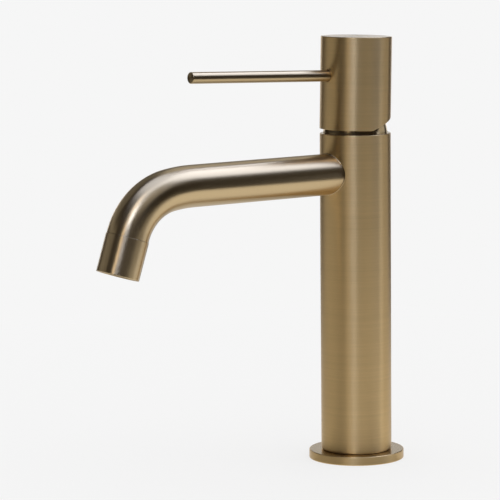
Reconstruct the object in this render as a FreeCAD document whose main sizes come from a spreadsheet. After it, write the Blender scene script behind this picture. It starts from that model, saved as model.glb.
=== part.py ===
import FreeCAD, Part
import os

import Sketcher
from FreeCAD import Rotation, Vector

# Single-lever basin mixer, in millimetres and degrees.
# The origin is the middle of the foot on the deck, +Z is up, spout and lever point along -Y.

doc = FreeCAD.newDocument("mixer_faucet")

# Driving dimensions, each written once.
driving = {
    # column and foot
    "flange_diameter": 51.2,
    "flange_thickness": 4.6,
    "column_diameter": 38.0,
    "column_wall": 2.0,
    "column_top": 176.5,
    "edge_chamfer": 0.4,
    "gasket_margin": 2.2,
    "gasket_width": 3.0,
    "gasket_height": 1.6,
    "gasket_play": 0.1,
    "fit_gap": 0.05,
    "spigot_diameter": 31.0,
    "base_block_height": 22.0,
    "inlet_spacing": 16.0,
    "inlet_advance": 4.5,
    "inlet_tapping": 9.0,
    "inlet_thread_length": 12.0,
    "stud_tapping": 6.8,
    "stud_thread_length": 15.0,
    "stud_setback": 7.5,
    "pipe_diameter": 10.0,
    "pipe_wall": 1.0,
    "pipe_socket_depth": 5.0,
    # valve block
    "dome_recess": 1.5,
    "valve_block_height": 34.0,
    "seat_depth": 13.0,
    "port_spread": 7.8,
    "port_advance": 2.6,
    "inlet_port_diameter": 3.4,
    "inlet_port_depth": 2.0,
    "seat_web": 1.0,
    "outlet_port_diameter": 4.0,
    "outlet_setback": 3.6,
    "passage_width": 5.6,
    "passage_height": 10.0,
    # spout
    "spout_drop": 21.2,
    "spout_diameter": 22.0,
    "spout_wall": 1.5,
    "spout_insertion": 1.0,
    "spout_run": 105.6,
    "lead_radius": 85.0,
    "lead_angle": 10.0,
    "bend_radius": 32.0,
    "bend_angle": 71.8,
    "tail_length": 0.9,
    "tail_spigot_length": 6.0,
    "tail_spigot_wall": 0.8,
    "sleeve_length": 20.2,
    "sleeve_step": 0.25,
    # aerator, measured up from the outlet
    "sleeve_wall": 1.85,
    "insert_recess": 1.0,
    "insert_height": 9.6,
    "insert_wall": 1.7,
    "insert_lip": 0.9,
    "lip_height": 1.0,
    "key_notch_width": 2.2,
    "key_notch_depth": 0.7,
    "key_notch_count": 6,
    "washer_height": 1.4,
    "washer_bore": 15.0,
    "screen_height": 2.0,
    "screen_hole": 1.8,
    "screen_inner_circle": 5.0,
    "screen_outer_circle": 10.0,
    "screen_inner_count": 6,
    "screen_outer_count": 12,
    "diffuser_floor": 1.6,
    "diffuser_wall": 0.9,
    "diffuser_hole": 1.2,
    "diffuser_circle": 9.0,
    "diffuser_count": 8,
    # cartridge, measured up from its seat
    "cartridge_diameter": 25.0,
    "cartridge_neck_diameter": 21.5,
    "cartridge_bore": 18.8,
    "cartridge_shoulder": 7.5,
    "cartridge_height": 24.0,
    "cartridge_lip": 1.5,
    "stem_opening": 15.0,
    "base_plate_height": 3.0,
    "seal_width": 0.9,
    "seal_height": 1.0,
    "fixed_disc_height": 2.5,
    "moving_disc_height": 2.5,
    "disc_room": 2.0,
    "disc_offset": 1.2,
    "mixing_chamber_diameter": 8.4,
    "mixing_chamber_depth": 1.5,
    "carrier_height": 3.5,
    "tongue_height": 1.8,
    "tongue_width": 9.6,
    "tongue_relief": 1.2,
    "running_gap": 0.05,
    "rotor_top_gap": 0.1,
    "rotor_slot_length": 12.4,
    # stem and its pivot
    "pivot_drop": 5.0,
    "pivot_pin_diameter": 3.0,
    "pin_setback": 0.9,
    "stem_width": 7.0,
    "stem_foot": 3.0,
    "stem_rise": 30.5,
    "ball_height": 2.95,
    "stem_neck_diameter": 3.8,
    "stem_ball_diameter": 4.4,
    "ball_play": 0.15,
    "stem_side_gap": 0.1,
    # nut and dome
    "nut_wall": 1.9,
    "nut_collar_diameter": 27.0,
    "nut_collar_height": 6.0,
    "nut_slot_width": 3.0,
    "nut_slot_depth": 2.0,
    "nut_slot_count": 4,
    "neck_gap": 0.2,
    "dome_margin": 1.8,
    "dome_lip": 1.37,
    # handle and lever
    "rest_lean": 1.35,
    "handle_gap": 2.2,
    "handle_height": 49.4,
    "handle_wall": 1.2,
    "cavity_depth": 18.85,
    "cut_advance": 2.5,
    "cut_slope": 20.5,
    "socket_gap": 0.05,
    "socket_headroom": 0.2,
    "lever_diameter": 6.0,
    "lever_height": 28.45,
    "lever_tilt": 0.7,
    "lever_tip": 106.5,
    "lever_chamfer": 0.35,
    "lever_play": 0.15,
    "lever_seat_depth": 1.5,
    "lever_thread": 4.9,
    "lever_thread_gap": 0.6,
    "grub_length": 5.4,
    "grub_key_width": 2.5,
    "grub_key_depth": 2.5,
}

# Sizes and heights that follow from the driving ones.
worked_out = {
    # foot and column
    "flange_radius": "flange_diameter / 2",
    "flange_shoulder": "flange_thickness - edge_chamfer",
    "flange_rim": "flange_radius - edge_chamfer",
    "spigot_radius": "spigot_diameter / 2",
    "flange_bore": "spigot_radius + fit_gap",
    "gasket_outer": "flange_radius - gasket_margin",
    "gasket_inner": "gasket_outer - gasket_width",
    "groove_inner": "gasket_inner - gasket_play",
    "groove_outer": "gasket_outer + gasket_play",
    "column_radius": "column_diameter / 2",
    "column_bore": "column_radius - column_wall",
    "column_shoulder": "column_top - edge_chamfer",
    "column_rim": "column_radius - edge_chamfer",
    "plug_radius": "column_bore - fit_gap",
    "base_block_top": "flange_thickness + base_block_height",
    "inlet_x": "inlet_spacing / 2",
    "inlet_radius": "inlet_tapping / 2",
    "stud_radius": "stud_tapping / 2",
    "pipe_radius": "pipe_diameter / 2",
    "pipe_bore": "pipe_radius - pipe_wall",
    "pipe_socket_radius": "pipe_radius + fit_gap",
    "pipe_foot": "base_block_top - pipe_socket_depth",
    "base_channel_length": "pipe_foot - inlet_thread_length",
    # valve block
    "valve_top": "column_top - dome_recess",
    "valve_bottom": "valve_top - valve_block_height",
    "pipe_head": "valve_bottom + pipe_socket_depth",
    "pipe_length": "pipe_head - pipe_foot",
    "seat_level": "column_top - seat_depth",
    "shoulder_level": "seat_level + cartridge_shoulder",
    "cartridge_radius": "cartridge_diameter / 2",
    "cartridge_pocket": "cartridge_radius + fit_gap",
    "nut_bore": "plug_radius - nut_wall",
    "nut_radius": "nut_bore - fit_gap",
    "port_x": "port_spread / 2",
    "inlet_port_radius": "inlet_port_diameter / 2",
    "inlet_port_floor": "seat_level - inlet_port_depth",
    "channel_length": "seat_level - seat_web - pipe_head",
    "outlet_port_radius": "outlet_port_diameter / 2",
    "spout_level": "column_top - spout_drop",
    "outlet_port_length": "seat_level - spout_level",
    "passage_rear": "outlet_setback + outlet_port_radius",
    "passage_left": "-passage_width / 2",
    "passage_low": "spout_level - passage_height / 2",
    # spout
    "spout_radius": "spout_diameter / 2",
    "spout_bore": "spout_radius - spout_wall",
    "spout_hole": "spout_radius + fit_gap",
    "spout_start": "sqrt(column_radius ^ 2 - spout_radius ^ 2) - spout_insertion",
    "spout_hole_length": "column_diameter",
    "passage_length": "passage_rear + spout_start",
    "lead_sine": "sin(lead_angle * 1deg)",
    "lead_cosine": "cos(lead_angle * 1deg)",
    "lead_centre_z": "spout_level - lead_radius",
    "lead_end_y": "spout_run + lead_radius * lead_sine",
    "lead_end_z": "lead_centre_z + lead_radius * lead_cosine",
    "bend_sine": "sin(bend_angle * 1deg)",
    "bend_cosine": "cos(bend_angle * 1deg)",
    "bend_centre_y": "lead_end_y - bend_radius * lead_sine",
    "bend_centre_z": "lead_end_z - bend_radius * lead_cosine",
    "bend_end_y": "bend_centre_y + bend_radius * bend_sine",
    "bend_end_z": "bend_centre_z + bend_radius * bend_cosine",
    "seam_y": "bend_end_y + tail_length * bend_cosine",
    "seam_z": "bend_end_z - tail_length * bend_sine",
    "outlet_y": "seam_y + sleeve_length * bend_cosine",
    "outlet_z": "seam_z - sleeve_length * bend_sine",
    "outlet_turn": "90 - bend_angle",
    "spigot_end_y": "seam_y + tail_spigot_length * bend_cosine",
    "spigot_end_z": "seam_z - tail_spigot_length * bend_sine",
    "tail_spigot_radius": "spout_bore + tail_spigot_wall",
    "tail_bore_length": "tail_spigot_length + tail_length",
    # aerator
    "sleeve_radius": "spout_radius + sleeve_step",
    "insert_pocket": "sleeve_radius - sleeve_wall",
    "insert_radius": "insert_pocket - fit_gap",
    "insert_bore": "insert_radius - insert_wall",
    "insert_lip_radius": "insert_bore - insert_lip",
    "insert_top": "insert_recess + insert_height",
    "lip_top": "insert_recess + lip_height",
    "washer_top": "insert_top + washer_height",
    "washer_bore_radius": "washer_bore / 2",
    "socket_floor": "sleeve_length - tail_spigot_length - fit_gap",
    "sleeve_socket": "tail_spigot_radius + fit_gap",
    "sleeve_rim": "sleeve_radius - edge_chamfer",
    "sleeve_mouth": "insert_pocket + edge_chamfer",
    "sleeve_shoulder": "sleeve_length - edge_chamfer / 2",
    "sleeve_top_rim": "sleeve_radius - edge_chamfer / 2",
    "screen_radius": "insert_bore - fit_gap",
    "screen_top": "lip_top + screen_height",
    "screen_hole_radius": "screen_hole / 2",
    "screen_inner_radius": "screen_inner_circle / 2",
    "screen_outer_radius": "screen_outer_circle / 2",
    "diffuser_floor_level": "insert_top - diffuser_floor",
    "diffuser_bore": "screen_radius - diffuser_wall",
    "diffuser_hole_radius": "diffuser_hole / 2",
    "diffuser_hole_circle": "diffuser_circle / 2",
    "key_notch_left": "-key_notch_width / 2",
    # cartridge
    "cartridge_neck": "cartridge_neck_diameter / 2",
    "cartridge_inner": "cartridge_bore / 2",
    "inner_piece": "cartridge_inner - running_gap",
    "cartridge_top": "seat_level + cartridge_height",
    "lip_level": "cartridge_top - cartridge_lip",
    "stem_opening_radius": "stem_opening / 2",
    "base_plate_top": "seat_level + base_plate_height",
    "inlet_seal_radius": "inlet_port_radius + seal_width",
    "outlet_seal_radius": "outlet_port_radius + seal_width",
    "inlet_seal_pocket": "inlet_seal_radius + fit_gap",
    "outlet_seal_pocket": "outlet_seal_radius + fit_gap",
    "upper_seal_level": "base_plate_top - seal_height",
    "fixed_disc_top": "base_plate_top + fixed_disc_height",
    "moving_disc_level": "fixed_disc_top + running_gap",
    "moving_disc_radius": "cartridge_inner - disc_room",
    "mixing_chamber_radius": "mixing_chamber_diameter / 2",
    "carrier_level": "moving_disc_level + moving_disc_height",
    "carrier_top": "carrier_level + carrier_height",
    "rotor_level": "carrier_top + running_gap",
    "rotor_top": "lip_level - rotor_top_gap",
    "rotor_height": "rotor_top - rotor_level",
    "rotor_slot_width": "stem_width + 2 * stem_side_gap",
    "rotor_groove_width": "tongue_width + 2 * stem_side_gap",
    "rotor_groove_depth": "tongue_height + running_gap",
    "rotor_slot_left": "-rotor_slot_width / 2",
    "rotor_slot_front": "-rotor_slot_length / 2",
    "rotor_groove_left": "-rotor_groove_width / 2",
    "rotor_groove_front": "-cartridge_bore / 2",
    # stem
    "pivot_level": "cartridge_top - pivot_drop",
    "pivot_rise": "pivot_level - column_top",
    "pivot_pin_radius": "pivot_pin_diameter / 2",
    "pivot_pin_length": "cartridge_bore - 2 * pin_setback",
    "pivot_pin_start": "-pivot_pin_length / 2",
    "pivot_hole": "pivot_pin_radius + running_gap",
    "rotor_pin_hole": "pivot_pin_radius + fit_gap",
    "rotor_pin_start": "-cartridge_bore / 2",
    "stem_arm": "pivot_level - carrier_level - ball_height",
    "ball_y": "-stem_arm * sin(rest_lean * 1deg)",
    "stem_left": "-stem_width / 2",
    "stem_low": "-stem_foot",
    "stem_height": "stem_foot + stem_rise",
    "stem_neck_radius": "stem_neck_diameter / 2",
    "stem_neck_start": "-stem_arm",
    "stem_ball_radius": "stem_ball_diameter / 2",
    "ball_pocket": "stem_ball_radius + ball_play",
    "ball_pocket_width": "2 * ball_pocket",
    "ball_pocket_left": "-ball_pocket",
    "ball_pocket_front": "ball_y - ball_pocket",
    "relief_front": "ball_pocket_front - tongue_relief",
    "relief_length": "ball_pocket_width + 2 * tongue_relief",
    "tongue_left": "-tongue_width / 2",
    "tongue_front": "disc_offset - sqrt(moving_disc_radius ^ 2 - tongue_width ^ 2 / 4)",
    "tongue_length": "2 * sqrt(moving_disc_radius ^ 2 - tongue_width ^ 2 / 4)",
    # nut and dome
    "nut_inner": "cartridge_neck + neck_gap",
    "nut_collar": "nut_collar_diameter / 2",
    "nut_top": "valve_top + nut_collar_height",
    "nut_slot_left": "-nut_slot_width / 2",
    "nut_slot_level": "nut_top - nut_slot_depth",
    "dome_thread": "nut_collar + fit_gap",
    "dome_ceiling": "nut_top + running_gap",
    "dome_radius": "column_radius - dome_margin",
    "dome_top_radius": "nut_inner + dome_lip",
    "dome_top": "column_top + sqrt(dome_radius ^ 2 - dome_top_radius ^ 2)",
    # handle and lever, measured from the pivot
    "handle_radius": "column_radius",
    "handle_low": "handle_gap - pivot_rise",
    "handle_high": "handle_low + handle_height",
    "handle_shoulder": "handle_high - edge_chamfer",
    "handle_rim": "handle_radius - edge_chamfer",
    "cavity_radius": "handle_radius - handle_wall",
    "cavity_roof": "handle_low + cavity_depth",
    "cut_rear": "column_diameter",
    "cut_rise": "handle_low + (cut_rear + cut_advance) * tan(cut_slope * 1deg)",
    "cut_width": "2 * column_diameter",
    "socket_width": "stem_width + 2 * socket_gap",
    "socket_left": "-socket_width / 2",
    "socket_height": "stem_rise + socket_headroom - cavity_roof",
    "lever_rise": "handle_low + lever_height",
    "lever_radius": "lever_diameter / 2",
    "lever_seat": "handle_radius - lever_seat_depth",
    "lever_hole": "lever_radius + lever_play",
    "lever_thread_radius": "lever_thread / 2",
    "lever_thread_hole": "lever_thread_radius + fit_gap",
    "lever_shoulder": "lever_tip - lever_chamfer",
    "lever_rim": "lever_radius - lever_chamfer",
    "lever_axis_y": "lever_rise * sin(rest_lean * 1deg)",
    "lever_axis_z": "pivot_level + lever_rise * cos(rest_lean * 1deg)",
    "lever_drill": "90 - lever_tilt",
    "lever_turn": "lever_drill - rest_lean",
    "lever_seat_y": "-lever_seat * cos(lever_tilt * 1deg)",
    "lever_seat_z": "lever_rise + lever_seat * sin(lever_tilt * 1deg)",
    "grub_skew": "lever_thread_radius * sin(lever_tilt * 1deg)",
    "grub_start": "(stem_width / 2 + grub_skew) / cos(lever_tilt * 1deg)",
    "grub_end": "grub_start + grub_length",
    "lever_thread_start": "grub_end + lever_thread_gap",
    "grub_key_radius": "grub_key_width / sqrt(3)",
    "grub_key_start": "grub_end - grub_key_depth",
}


def formula(text):
    words = []
    for word in text.split(" "):
        lead = word[: len(word) - len(word.lstrip("(-"))]
        tail = word[len(word.rstrip(")")):]
        name = word[len(lead): len(word) - len(tail)]
        for call in ("sqrt(", "sin(", "cos(", "tan("):
            if name.startswith(call):
                lead = lead + call
                name = name[len(call):]
        if name in driving:
            name = "Sizes." + name
        elif name in worked_out:
            name = "Worked." + name
        words.append(lead + name + tail)
    return " ".join(words)


def make_sheet(name, cells):
    sheet = doc.addObject("Spreadsheet::Sheet", name)
    for row, (alias, content) in enumerate(cells.items(), start=1):
        sheet.set("A%d" % row, alias)
        sheet.set("B%d" % row, content)
        sheet.setAlias("B%d" % row, alias)
    return sheet


sizes = make_sheet("Sizes", {alias: str(number) for alias, number in driving.items()})
doc.recompute()
worked = make_sheet("Worked", {alias: "=" + formula(text) for alias, text in worked_out.items()})
doc.recompute()


def size(name):
    if name.startswith("-"):
        return -size(name[1:])
    sheet = sizes if name in driving else worked
    number = getattr(sheet, name)
    return float(getattr(number, "Value", number))


def bind(thing, **properties):
    for path, name in properties.items():
        thing.setExpression(path.replace("__", "."), formula(name))


def place(thing, x="0", y="0", z="0", axis=None, turn=None):
    if axis:
        thing.Placement = FreeCAD.Placement(Vector(0, 0, 0), Rotation(Vector(*axis), size(turn)))
        bind(thing, Placement__Rotation__Angle=turn)
    for letter, name in (("x", x), ("y", y), ("z", z)):
        if name != "0":
            thing.setExpression("Placement.Base." + letter, formula(name))


def new_body(label):
    body = doc.addObject("PartDesign::Body", label)
    body.Label = label
    return body


def origin_part(body, role):
    return [item for item in body.Origin.OriginFeatures if item.Role == role][0]


def flat_sketch(body, name, plane):
    sketch = body.newObject("Sketcher::SketchObject", name)
    sketch.AttachmentSupport = [(origin_part(body, plane), "")]
    sketch.MapMode = "FlatFace"
    return sketch


def pin_point(sketch, edge, end, across, up):
    for kind, name, axis in (("DistanceX", across, -2), ("DistanceY", up, -1)):
        if name == "0":
            sketch.addConstraint(Sketcher.Constraint("PointOnObject", edge, end, axis))
        else:
            index = sketch.addConstraint(Sketcher.Constraint(kind, -1, 1, edge, end, size(name)))
            sketch.setExpression("Constraints[%d]" % index, formula(name))


def spot(corner):
    across, up = corner
    return Vector(0 if across == "0" else size(across), 0 if up == "0" else size(up), 0)


def outline(body, name, plane, corners, round_edges=()):
    # A closed outline of straight edges. An edge in round_edges bulges outwards about a centre on the axis.
    sketch = flat_sketch(body, name, plane)
    count = len(corners)
    for edge in range(count):
        start = spot(corners[edge])
        end = spot(corners[(edge + 1) % count])
        if edge in round_edges:
            radius, centre_up = round_edges[edge]
            centre = Vector(0, size(centre_up), 0)
            middle = (start + end) / 2 - centre
            middle.normalize()
            sketch.addGeometry(Part.Arc(start, centre + middle * size(radius), end), False)
        else:
            sketch.addGeometry(Part.LineSegment(start, end), False)
    starts = {}
    for edge in range(count):
        # An arc runs anticlockwise, so its own start may be the outline's next corner.
        first = sketch.Geometry[edge].StartPoint
        starts[edge] = 1 if first.isEqual(spot(corners[edge]), 1e-6) else 2
    for edge in range(count):
        following = (edge + 1) % count
        joint = Sketcher.Constraint("Coincident", edge, 3 - starts[edge], following, starts[following])
        sketch.addConstraint(joint)
    for edge in range(count):
        pin_point(sketch, edge, starts[edge], *corners[edge])
        if edge in round_edges:
            sketch.addConstraint(Sketcher.Constraint("PointOnObject", edge, 3, -2))
    return sketch


def turned(body, name, corners, round_edges=()):
    sketch = outline(body, name + "_profile", "XZ_Plane", corners, round_edges)
    turn = body.newObject("PartDesign::Revolution", name)
    turn.Profile = sketch
    turn.ReferenceAxis = (sketch, ["V_Axis"])
    turn.Angle = 360
    sketch.Visibility = False
    return turn


# Ways that a cylinder or a prism can point: up, towards the front, or across.
up = (None, None)
front = ((1, 0, 0), 90)
across = ((0, 1, 0), 90)


def primitive(body, kind, name, pointing, x, y, z, **properties):
    thing = body.newObject("PartDesign::" + kind, name)
    axis, angle = pointing
    if axis:
        thing.Placement = FreeCAD.Placement(Vector(0, 0, 0), Rotation(Vector(*axis), angle))
    bind(thing, **properties)
    place(thing, x, y, z)
    return thing


def bore(body, name, radius, length, x="0", y="0", z="0", pointing=up):
    return primitive(body, "SubtractiveCylinder", name, pointing, x, y, z, Radius=radius, Height=length)


def slot(body, name, length, width, height, x, y, z):
    return primitive(body, "SubtractiveBox", name, up, x, y, z, Length=length, Width=width, Height=height)


def repeat_round(body, name, feature, count):
    doc.recompute()
    pattern = body.newObject("PartDesign::PolarPattern", name)
    pattern.Originals = [feature]
    pattern.Axis = (origin_part(body, "Z_Axis"), [""])
    pattern.Angle = 360
    bind(pattern, Occurrences=count)
    body.Tip = pattern
    return pattern


def ring(label, inner, outer, low, high):
    body = new_body(label)
    turned(body, label + "_turned", [(inner, low), (outer, low), (outer, high), (inner, high)])
    return body


# Foot of the column

def make_base_flange():
    body = new_body("base_flange")
    turned(body, "flange_turned", [
        ("flange_bore", "0"),
        ("groove_inner", "0"),
        ("groove_inner", "gasket_height"),
        ("groove_outer", "gasket_height"),
        ("groove_outer", "0"),
        ("flange_radius", "0"),
        ("flange_radius", "flange_shoulder"),
        ("flange_rim", "flange_thickness"),
        ("flange_bore", "flange_thickness"),
    ])
    return body


def make_base_block():
    body = new_body("base_block")
    turned(body, "base_block_turned", [
        ("0", "0"),
        ("spigot_radius", "0"),
        ("spigot_radius", "flange_thickness"),
        ("plug_radius", "flange_thickness"),
        ("plug_radius", "base_block_top"),
        ("0", "base_block_top"),
    ])
    for side, x in (("hot", "-inlet_x"), ("cold", "inlet_x")):
        bore(body, side + "_thread", "inlet_radius", "inlet_thread_length", x, "-inlet_advance")
        bore(body, side + "_channel", "pipe_bore", "base_channel_length",
             x, "-inlet_advance", "inlet_thread_length")
        bore(body, side + "_socket", "pipe_socket_radius", "pipe_socket_depth",
             x, "-inlet_advance", "pipe_foot")
    bore(body, "stud_thread", "stud_radius", "stud_thread_length", "0", "stud_setback")
    return body


def make_column_tube():
    body = new_body("column_tube")
    turned(body, "column_turned", [
        ("column_bore", "flange_thickness"),
        ("column_radius", "flange_thickness"),
        ("column_radius", "column_shoulder"),
        ("column_rim", "column_top"),
        ("column_bore", "column_top"),
    ])
    bore(body, "spout_opening", "spout_hole", "spout_hole_length", z="spout_level", pointing=front)
    return body


def make_riser_pipe(label, x):
    body = new_body(label)
    turned(body, label + "_turned", [
        ("pipe_bore", "0"),
        ("pipe_radius", "0"),
        ("pipe_radius", "pipe_length"),
        ("pipe_bore", "pipe_length"),
    ])
    place(body, x, "-inlet_advance", "pipe_foot")
    return body


# Valve block with the cartridge seat and the way to the spout

def make_valve_block():
    body = new_body("valve_block")
    turned(body, "valve_block_turned", [
        ("0", "valve_bottom"),
        ("plug_radius", "valve_bottom"),
        ("plug_radius", "valve_top"),
        ("nut_bore", "valve_top"),
        ("nut_bore", "shoulder_level"),
        ("cartridge_pocket", "shoulder_level"),
        ("cartridge_pocket", "seat_level"),
        ("0", "seat_level"),
    ])
    for side, x, port_x in (("hot", "-inlet_x", "-port_x"), ("cold", "inlet_x", "port_x")):
        bore(body, side + "_socket", "pipe_socket_radius", "pipe_socket_depth",
             x, "-inlet_advance", "valve_bottom")
        bore(body, side + "_channel", "pipe_bore", "channel_length", x, "-inlet_advance", "pipe_head")
        bore(body, side + "_port", "inlet_port_radius", "inlet_port_depth",
             port_x, "-port_advance", "inlet_port_floor")
    bore(body, "outlet_port", "outlet_port_radius", "outlet_port_length",
         "0", "outlet_setback", "spout_level")
    slot(body, "outlet_passage", "passage_width", "passage_length", "passage_height",
         "passage_left", "-spout_start", "passage_low")
    bore(body, "spout_seat", "spout_hole", "column_radius", "0", "-spout_start", "spout_level", front)
    return body


# Spout and aerator

def make_spout_tube():
    body = new_body("spout_tube")
    section = flat_sketch(body, "spout_section", "XZ_Plane")
    bind(section, AttachmentOffset__Base__z="spout_start")
    centre = Vector(0, size("spout_level"), 0)
    for index, radius in enumerate(("spout_radius", "spout_bore")):
        section.addGeometry(Part.Circle(centre, Vector(0, 0, 1), size(radius)), False)
        pin_point(section, index, 3, "0", "spout_level")
        constraint = section.addConstraint(Sketcher.Constraint("Radius", index, size(radius)))
        section.setExpression("Constraints[%d]" % constraint, formula(radius))
    route = flat_sketch(body, "spout_route", "YZ_Plane")
    corners = [
        ("-spout_start", "spout_level"),
        ("-spout_run", "spout_level"),
        ("-lead_end_y", "lead_end_z"),
        ("-bend_end_y", "bend_end_z"),
        ("-seam_y", "seam_z"),
    ]
    points = [spot(corner) for corner in corners]
    route.addGeometry(Part.LineSegment(points[0], points[1]), False)
    # The tube bends gently at first, then at the tighter radius.
    for edge, radius, centre in (
        (1, "lead_radius", ("-spout_run", "lead_centre_z")),
        (2, "bend_radius", ("-bend_centre_y", "bend_centre_z")),
    ):
        half_way = (points[edge] + points[edge + 1]) / 2 - spot(centre)
        half_way.normalize()
        middle = spot(centre) + half_way * size(radius)
        route.addGeometry(Part.Arc(points[edge], middle, points[edge + 1]), False)
    route.addGeometry(Part.LineSegment(points[3], points[4]), False)
    pin_point(route, 0, 1, *corners[0])
    pin_point(route, 0, 2, *corners[1])
    last = 2
    for edge, radius in ((1, "lead_radius"), (2, "bend_radius")):
        first = 1 if route.Geometry[edge].StartPoint.isEqual(points[edge], 1e-6) else 2
        route.addConstraint(Sketcher.Constraint("Coincident", edge - 1, last, edge, first))
        last = 3 - first
        pin_point(route, edge, last, *corners[edge + 1])
        index = route.addConstraint(Sketcher.Constraint("Radius", edge, size(radius)))
        route.setExpression("Constraints[%d]" % index, formula(radius))
    route.addConstraint(Sketcher.Constraint("Coincident", 2, last, 3, 1))
    pin_point(route, 3, 2, *corners[4])
    doc.recompute()
    pipe = body.newObject("PartDesign::AdditivePipe", "spout_bent")
    pipe.Profile = section
    pipe.Spine = (route, ["Edge1", "Edge2", "Edge3", "Edge4"])
    tilt = ((-1, 0, 0), size("outlet_turn"))
    for kind, name, radius, length in (
        ("AdditiveCylinder", "tail_spigot", "tail_spigot_radius", "tail_spigot_length"),
        ("SubtractiveCylinder", "tail_bore", "spout_bore", "tail_bore_length"),
    ):
        piece = primitive(body, kind, name, tilt, "0", "-spigot_end_y", "spigot_end_z",
                          Radius=radius, Height=length)
        bind(piece, Placement__Rotation__Angle="outlet_turn")
    return body


def at_outlet(body):
    place(body, "0", "-outlet_y", "outlet_z", (-1, 0, 0), "outlet_turn")
    return body


def make_aerator_sleeve():
    body = new_body("aerator_sleeve")
    turned(body, "sleeve_turned", [
        ("sleeve_mouth", "0"),
        ("sleeve_rim", "0"),
        ("sleeve_radius", "edge_chamfer"),
        ("sleeve_radius", "sleeve_shoulder"),
        ("sleeve_top_rim", "sleeve_length"),
        ("sleeve_socket", "sleeve_length"),
        ("sleeve_socket", "socket_floor"),
        ("washer_bore_radius", "socket_floor"),
        ("washer_bore_radius", "washer_top"),
        ("insert_pocket", "washer_top"),
        ("insert_pocket", "edge_chamfer"),
    ])
    return at_outlet(body)


def make_aerator_housing():
    body = new_body("aerator_housing")
    turned(body, "aerator_housing_turned", [
        ("insert_lip_radius", "insert_recess"),
        ("insert_radius", "insert_recess"),
        ("insert_radius", "insert_top"),
        ("insert_bore", "insert_top"),
        ("insert_bore", "lip_top"),
        ("insert_lip_radius", "lip_top"),
    ])
    notch = slot(body, "key_notch", "key_notch_width", "insert_pocket", "key_notch_depth",
                 "key_notch_left", "0", "insert_recess")
    repeat_round(body, "key_notches", notch, "key_notch_count")
    return at_outlet(body)


def make_aerator_screen():
    body = new_body("aerator_screen")
    turned(body, "screen_turned", [
        ("0", "lip_top"),
        ("screen_radius", "lip_top"),
        ("screen_radius", "screen_top"),
        ("0", "screen_top"),
    ])
    bore(body, "screen_middle_hole", "screen_hole_radius", "screen_height", "0", "0", "lip_top")
    inner = bore(body, "screen_inner_hole", "screen_hole_radius", "screen_height",
                 "screen_inner_radius", "0", "lip_top")
    repeat_round(body, "screen_inner_holes", inner, "screen_inner_count")
    outer = bore(body, "screen_outer_hole", "screen_hole_radius", "screen_height",
                 "screen_outer_radius", "0", "lip_top")
    repeat_round(body, "screen_outer_holes", outer, "screen_outer_count")
    return at_outlet(body)


def make_aerator_diffuser():
    body = new_body("aerator_diffuser")
    turned(body, "diffuser_turned", [
        ("diffuser_bore", "screen_top"),
        ("screen_radius", "screen_top"),
        ("screen_radius", "insert_top"),
        ("0", "insert_top"),
        ("0", "diffuser_floor_level"),
        ("diffuser_bore", "diffuser_floor_level"),
    ])
    hole = bore(body, "diffuser_jet", "diffuser_hole_radius", "diffuser_floor",
                "diffuser_hole_circle", "0", "diffuser_floor_level")
    repeat_round(body, "diffuser_jets", hole, "diffuser_count")
    return at_outlet(body)


# Cartridge

def make_cartridge_housing():
    body = new_body("cartridge_housing")
    turned(body, "housing_turned", [
        ("cartridge_inner", "seat_level"),
        ("cartridge_radius", "seat_level"),
        ("cartridge_radius", "shoulder_level"),
        ("cartridge_neck", "shoulder_level"),
        ("cartridge_neck", "cartridge_top"),
        ("stem_opening_radius", "cartridge_top"),
        ("stem_opening_radius", "lip_level"),
        ("cartridge_inner", "lip_level"),
    ])
    return body


def ports(body, low, height, inlet, outlet, name):
    bore(body, name + "_hot", inlet, height, "-port_x", "-port_advance", low)
    bore(body, name + "_cold", inlet, height, "port_x", "-port_advance", low)
    bore(body, name + "_outlet", outlet, height, "0", "outlet_setback", low)


def make_disc(label, radius, low, high):
    body = new_body(label)
    turned(body, label + "_turned", [("0", low), (radius, low), (radius, high), ("0", high)])
    return body


def make_cartridge_base():
    body = make_disc("cartridge_base", "inner_piece", "seat_level", "base_plate_top")
    ports(body, "seat_level", "base_plate_height", "inlet_port_radius", "outlet_port_radius", "base_port")
    ports(body, "seat_level", "seal_height", "inlet_seal_pocket", "outlet_seal_pocket", "lower_seal_pocket")
    ports(body, "upper_seal_level", "seal_height", "inlet_seal_pocket", "outlet_seal_pocket",
          "upper_seal_pocket")
    return body


def make_seals(label, low):
    rings = []
    for name, outer, inner, x, y in (
        ("hot", "inlet_seal_radius", "inlet_port_radius", "-port_x", "-port_advance"),
        ("cold", "inlet_seal_radius", "inlet_port_radius", "port_x", "-port_advance"),
        ("outlet", "outlet_seal_radius", "outlet_port_radius", "0", "outlet_setback"),
    ):
        discs = []
        for part, radius in (("outside", outer), ("inside", inner)):
            disc = doc.addObject("Part::Cylinder", "%s_%s_%s" % (label, name, part))
            bind(disc, Radius=radius, Height="seal_height")
            place(disc, x, y, low)
            discs.append(disc)
        cut = doc.addObject("Part::Cut", "%s_%s" % (label, name))
        cut.Base, cut.Tool = discs
        rings.append(cut)
    group = doc.addObject("Part::Compound", label)
    group.Label = label
    group.Links = rings
    return group


def make_fixed_ceramic_disc():
    body = make_disc("fixed_ceramic_disc", "inner_piece", "base_plate_top", "fixed_disc_top")
    ports(body, "base_plate_top", "fixed_disc_height", "inlet_port_radius", "outlet_port_radius", "disc_port")
    return body


def make_moving_ceramic_disc():
    body = new_body("moving_ceramic_disc")
    turned(body, "moving_disc_turned", [
        ("0", "0"),
        ("moving_disc_radius", "0"),
        ("moving_disc_radius", "moving_disc_height"),
        ("0", "moving_disc_height"),
    ])
    bore(body, "mixing_chamber", "mixing_chamber_radius", "mixing_chamber_depth")
    place(body, "0", "disc_offset", "moving_disc_level")
    return body


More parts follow.
